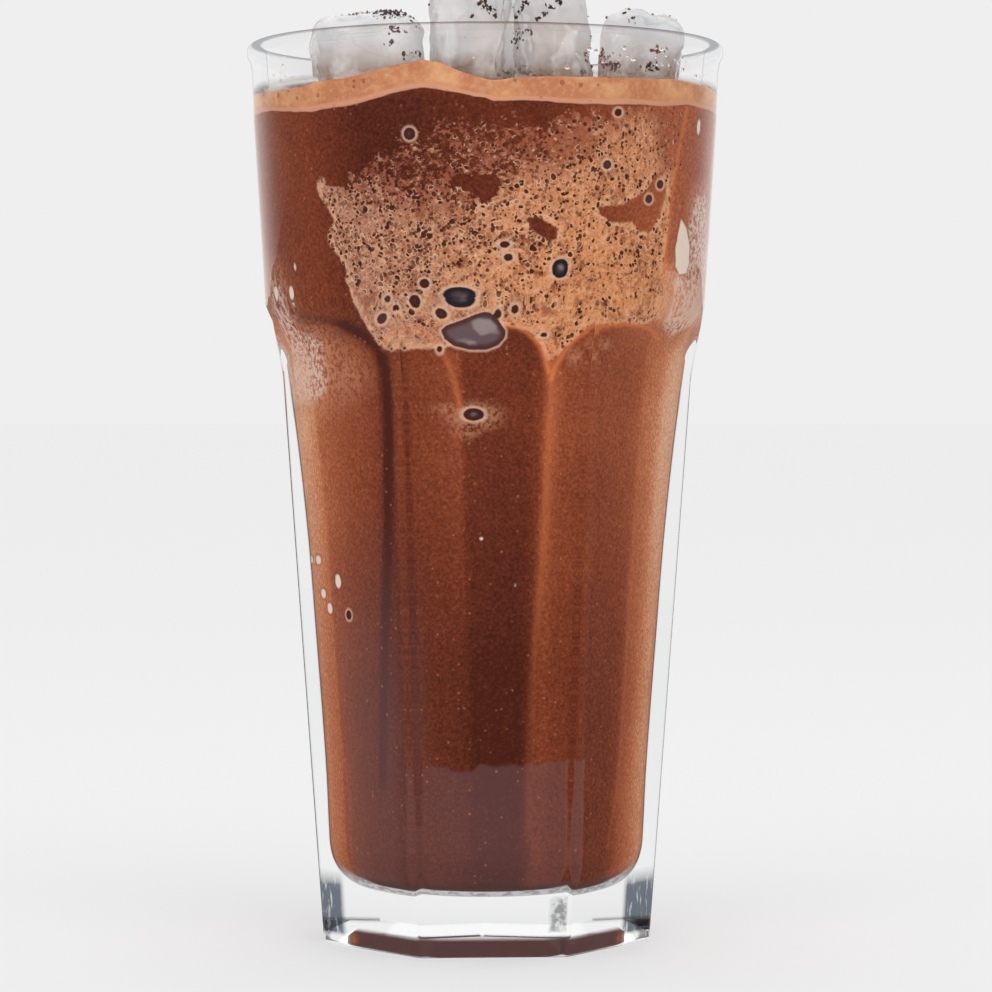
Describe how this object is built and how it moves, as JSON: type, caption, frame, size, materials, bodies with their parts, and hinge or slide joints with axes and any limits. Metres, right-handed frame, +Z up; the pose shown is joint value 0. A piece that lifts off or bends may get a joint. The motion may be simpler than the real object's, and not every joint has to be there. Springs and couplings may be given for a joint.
{
  "type": "iced chocolate in a tall faceted glass",
  "caption": "Tall tumbler with flat panels below a smooth round band, filled with frothy milk chocolate drink and topped with melting ice cubes and chocolate flecks.",
  "frame": {"origin": "centre of the underside of the glass's foot, where it rests", "axes": "+Z up along the glass's axis; -Y towards the viewer of the picture; +X to the viewer's right"},
  "size_m": [0.088, 0.088, 0.18],
  "materials": {
    "glass": "clear polished pressed glass",
    "chocolate_drink": "opaque brown milk chocolate drink",
    "froth": "fine light-brown froth",
    "ice_cube_left": "wet cloudy ice",
    "ice_cube_middle": "wet cloudy ice",
    "ice_cube_tall": "wet cloudy ice",
    "ice_cube_right": "wet cloudy ice",
    "ice_cube_back": "wet cloudy ice"
  },
  "bodies": {
    "root": {"glass": "glass", "chocolate_drink": "chocolate_drink", "froth": "froth", "ice_cube_left": "ice_cube_left", "ice_cube_middle": "ice_cube_middle", "ice_cube_tall": "ice_cube_tall", "ice_cube_right": "ice_cube_right", "ice_cube_back": "ice_cube_back"}
  },
  "joints": []
}
